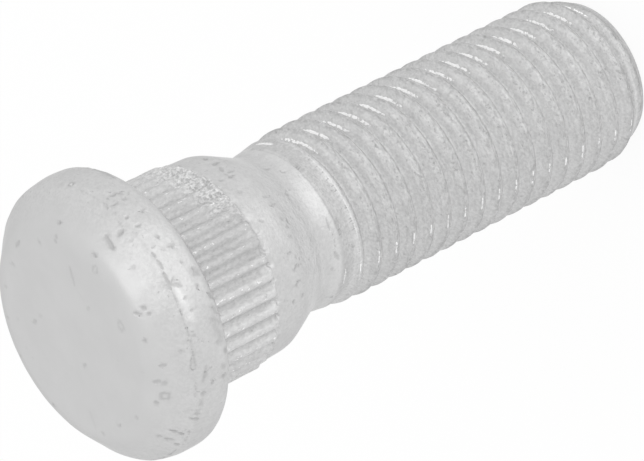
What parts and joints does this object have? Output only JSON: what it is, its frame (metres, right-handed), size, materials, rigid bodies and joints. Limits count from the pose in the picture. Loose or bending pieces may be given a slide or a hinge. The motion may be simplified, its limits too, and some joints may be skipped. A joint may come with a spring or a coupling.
{
  "type": "wheel bolt",
  "caption": "Press-in wheel bolt with a round forged head, a serrated band below it, a plain waist and a right-hand metric thread.",
  "frame": {"origin": "centre of the flat face at the threaded end", "axes": "+Z along the bolt's axis, from the threaded end towards the head"},
  "size_m": [0.0188, 0.0188, 0.0448],
  "materials": {
    "plated_steel": "cold-forged and thread-rolled steel with a thin dull zinc plate, lightly pitted"
  },
  "bodies": {
    "root": {"wheel_stud": "plated_steel"}
  },
  "joints": []
}
